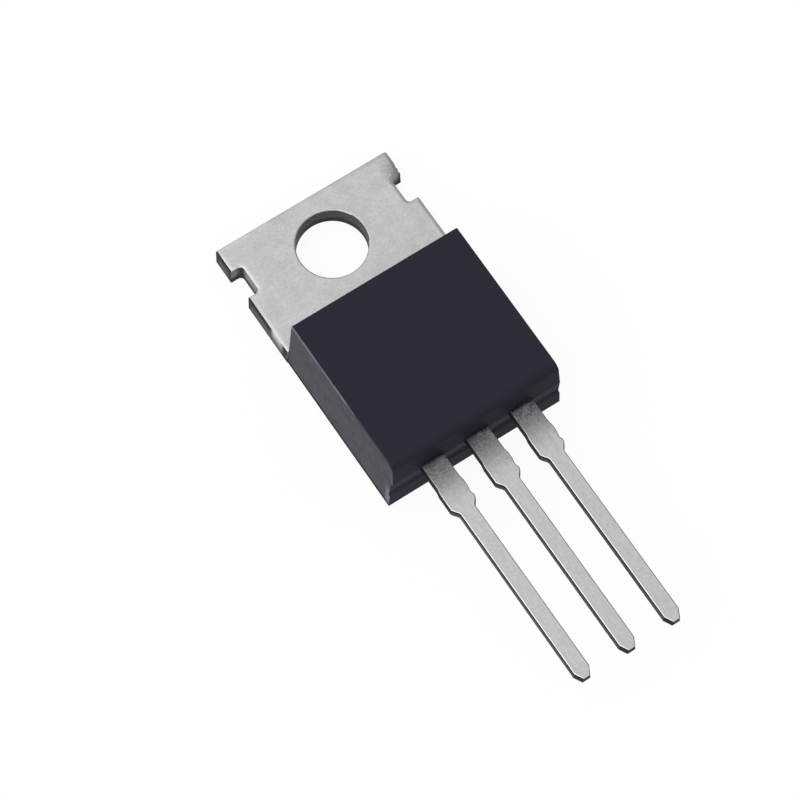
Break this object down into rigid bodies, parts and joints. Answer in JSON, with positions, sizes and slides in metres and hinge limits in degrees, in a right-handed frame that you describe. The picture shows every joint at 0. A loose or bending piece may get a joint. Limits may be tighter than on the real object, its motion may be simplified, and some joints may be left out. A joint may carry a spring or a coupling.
{
  "type": "voltage regulator",
  "caption": "Three-lead power package with a bolt-down metal tab, side notches, a drafted black moulding and flat shouldered leads.",
  "frame": {"origin": "on the mounting hole's axis, at the tab's flat back face", "axes": "+Y towards the tab's free end, the leads run towards -Y, +Z out of the front face, along the hole's axis"},
  "size_m": [0.01, 0.0284, 0.0044],
  "materials": {
    "plated_tab": "matt tin plate over stamped copper alloy",
    "plated_lead": "satin tin plate over stamped copper alloy",
    "silicon": "ground and metallised silicon",
    "solder": "solder",
    "bond_wire": "drawn aluminium wire",
    "moulding": "fine-matt black epoxy moulding compound"
  },
  "bodies": {
    "root": {"heat_spreader": "plated_tab", "input_lead": "plated_lead", "output_lead": "plated_lead", "silicon_die": "silicon", "die_solder": "solder", "input_wire": "bond_wire", "output_wire": "bond_wire", "sense_wire": "bond_wire", "ground_wire": "bond_wire", "moulded_body": "moulding"}
  },
  "joints": []
}
